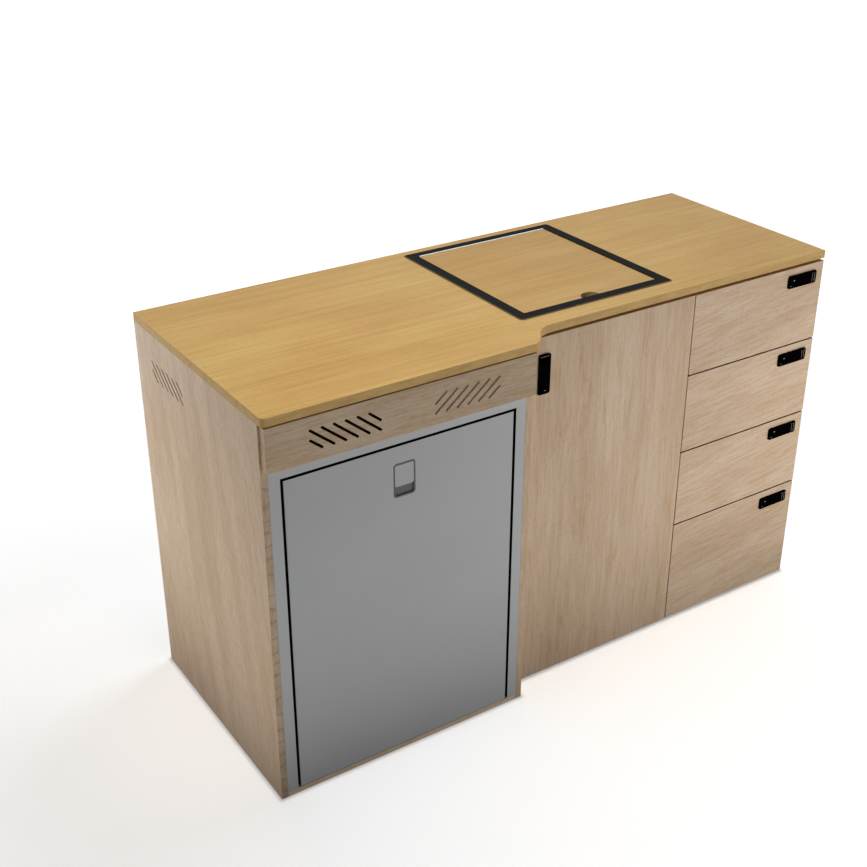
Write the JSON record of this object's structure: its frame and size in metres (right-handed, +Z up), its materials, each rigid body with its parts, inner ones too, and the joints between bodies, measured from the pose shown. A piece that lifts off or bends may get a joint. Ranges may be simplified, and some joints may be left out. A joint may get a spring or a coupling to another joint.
{
  "type": "campervan kitchen pod",
  "caption": "Campervan kitchen pod: long worktop with a stepped front edge, lidded sink, built-in fridge, cupboard and a stack of drawers with paddle latches.",
  "frame": {"origin": "on the floor, under the middle of the pod's bounding box", "axes": "+X along the pod with the fridge at the -X end, +Y towards its back, +Z up"},
  "size_m": [1.513, 0.595, 0.9022],
  "materials": {
    "bamboo": "satin",
    "oak": "satin",
    "birch_ply": "satin",
    "black_plastic": "gloss",
    "black_metal": "satin",
    "steel": "brushed",
    "zinc": "satin",
    "fridge_grey": "satin",
    "latch_grey": "satin",
    "fridge_white": "satin",
    "rubber": "matte",
    "shelf_glass": "gloss"
  },
  "bodies": {
    "carcass": {"left_end_panel": "oak", "fridge_divider": "oak", "drawer_divider": "oak", "right_end_panel": "oak", "fridge_base": "oak", "main_base": "oak", "front_rail": "oak", "back_rail_upper": "oak", "back_rail_lower": "oak", "fridge_back_rail": "oak", "fridge_fascia": "oak", "worktop": "bamboo", "sink_frame": "black_metal", "sink_bowl": "steel", "sink_waste": "steel", "lid_hinge_fixed_leaf": "steel", "fridge_flange": "fridge_grey", "fridge_cabinet": "fridge_white", "fridge_shelf": "shelf_glass", "fridge_hinge_pin_upper": "zinc", "fridge_hinge_pin_lower": "zinc", "fridge_compressor": "black_metal", "fridge_condenser": "zinc", "hinge_arm_upper": "zinc", "hinge_arm_lower": "zinc", "drawer_1_runner_left": "zinc", "drawer_1_runner_right": "zinc", "drawer_2_runner_left": "zinc", "drawer_2_runner_right": "zinc", "drawer_3_runner_left": "zinc", "drawer_3_runner_right": "zinc", "drawer_4_runner_left": "zinc", "drawer_4_runner_right": "zinc"},
    "sink_lid": {"sink_lid": "bamboo", "lid_hinge_lid_leaf": "steel"},
    "fridge_door": {"fridge_door": "fridge_grey", "fridge_door_gasket": "rubber", "fridge_latch_dish": "latch_grey"},
    "fridge_latch_pad": {"fridge_latch_pad": "fridge_grey"},
    "cupboard_door": {"cupboard_door": "oak", "cupboard_door_latch_bezel": "black_plastic", "hinge_cup_upper": "zinc", "hinge_cup_lower": "zinc"},
    "cupboard_door_latch_paddle": {"cupboard_door_latch_paddle": "black_plastic"},
    "drawer_1": {"drawer_1_front": "oak", "drawer_1_box": "birch_ply", "drawer_1_latch_bezel": "black_plastic"},
    "drawer_1_latch_paddle": {"drawer_1_latch_paddle": "black_plastic"},
    "drawer_2": {"drawer_2_front": "oak", "drawer_2_box": "birch_ply", "drawer_2_latch_bezel": "black_plastic"},
    "drawer_2_latch_paddle": {"drawer_2_latch_paddle": "black_plastic"},
    "drawer_3": {"drawer_3_front": "oak", "drawer_3_box": "birch_ply", "drawer_3_latch_bezel": "black_plastic"},
    "drawer_3_latch_paddle": {"drawer_3_latch_paddle": "black_plastic"},
    "drawer_4": {"drawer_4_front": "oak", "drawer_4_box": "birch_ply", "drawer_4_latch_bezel": "black_plastic"},
    "drawer_4_latch_paddle": {"drawer_4_latch_paddle": "black_plastic"}
  },
  "joints": [
    {"name": "sink_lid_hinge", "type": "hinge", "parent": "carcass", "child": "sink_lid", "pos_m": [0.109, 0.2507, 0.9006], "axis": [-1, 0, 0], "range_deg": [0, 100]},
    {"name": "fridge_door_hinge", "type": "hinge", "parent": "carcass", "child": "fridge_door", "pos_m": [-0.6992, -0.2685, 0.3825], "axis": [0, 0, -1], "range_deg": [0, 110]},
    {"name": "fridge_latch_pivot", "type": "hinge", "parent": "fridge_door", "child": "fridge_latch_pad", "pos_m": [-0.4465, -0.2766, 0.706], "axis": [-1, 0, 0], "range_deg": [0, 25], "stiffness_Nm_per_rad": 0.05, "springref_deg": -11.46},
    {"name": "cupboard_door_hinge", "type": "hinge", "parent": "carcass", "child": "cupboard_door", "pos_m": [0.3385, -0.2256, 0.4385], "axis": [0, 0, 1], "range_deg": [0, 90]},
    {"name": "cupboard_door_latch_pivot", "type": "hinge", "parent": "cupboard_door", "child": "cupboard_door_latch_paddle", "pos_m": [-0.072, -0.232, 0.7495], "axis": [1, 0, 0], "range_deg": [0, 35], "stiffness_Nm_per_rad": 0.05, "springref_deg": -11.46},
    {"name": "drawer_1_slide", "type": "slide", "parent": "carcass", "child": "drawer_1", "axis": [0, -1, 0], "range_m": [0, 0.35]},
    {"name": "drawer_1_latch_pivot", "type": "hinge", "parent": "drawer_1", "child": "drawer_1_latch_paddle", "pos_m": [0.647, -0.232, 0.8405], "axis": [0, 0, -1], "range_deg": [0, 35], "stiffness_Nm_per_rad": 0.05, "springref_deg": -11.46},
    {"name": "drawer_2_slide", "type": "slide", "parent": "carcass", "child": "drawer_2", "axis": [0, -1, 0], "range_m": [0, 0.35]},
    {"name": "drawer_2_latch_pivot", "type": "hinge", "parent": "drawer_2", "child": "drawer_2_latch_paddle", "pos_m": [0.647, -0.232, 0.641], "axis": [0, 0, -1], "range_deg": [0, 35], "stiffness_Nm_per_rad": 0.05, "springref_deg": -11.46},
    {"name": "drawer_3_slide", "type": "slide", "parent": "carcass", "child": "drawer_3", "axis": [0, -1, 0], "range_m": [0, 0.35]},
    {"name": "drawer_3_latch_pivot", "type": "hinge", "parent": "drawer_3", "child": "drawer_3_latch_paddle", "pos_m": [0.647, -0.232, 0.4415], "axis": [0, 0, -1], "range_deg": [0, 35], "stiffness_Nm_per_rad": 0.05, "springref_deg": -11.46},
    {"name": "drawer_4_slide", "type": "slide", "parent": "carcass", "child": "drawer_4", "axis": [0, -1, 0], "range_m": [0, 0.35]},
    {"name": "drawer_4_latch_pivot", "type": "hinge", "parent": "drawer_4", "child": "drawer_4_latch_paddle", "pos_m": [0.647, -0.232, 0.24201], "axis": [0, 0, -1], "range_deg": [0, 35], "stiffness_Nm_per_rad": 0.05, "springref_deg": -11.46}
  ]
}
